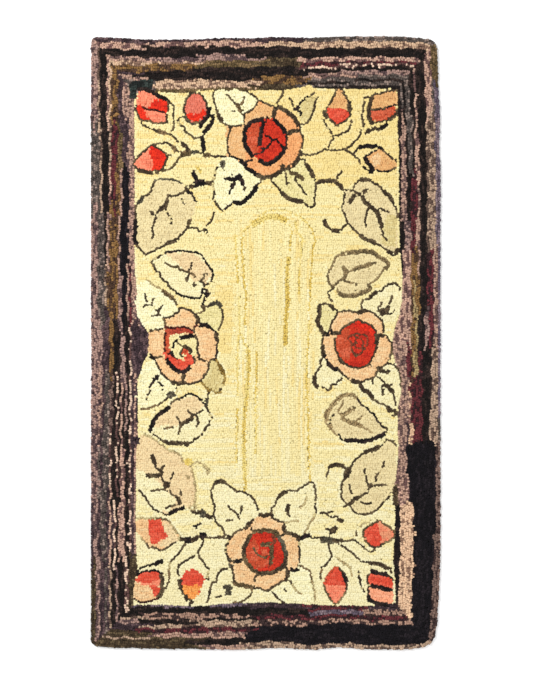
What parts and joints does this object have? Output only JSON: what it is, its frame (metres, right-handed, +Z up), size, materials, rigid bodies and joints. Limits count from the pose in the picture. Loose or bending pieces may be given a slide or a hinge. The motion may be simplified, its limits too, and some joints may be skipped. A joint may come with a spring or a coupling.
{
  "type": "hooked rug",
  "caption": "Oblong hand-hooked wool rug lying flat: short looped pile on a foundation cloth, rounded uneven rim, roses, buds and leaves in a striped border.",
  "frame": {"origin": "middle of the rug's flat underside", "axes": "+Y along the rug's length, towards its top end; +X across it; +Z up out of the pile"},
  "size_m": [0.718, 1.26, 0.008],
  "materials": {
    "wool_pile": "matte looped wool pile, cream ground with red, peach and dark stripes"
  },
  "bodies": {
    "root": {"hooked_rug": "wool_pile"}
  },
  "joints": []
}
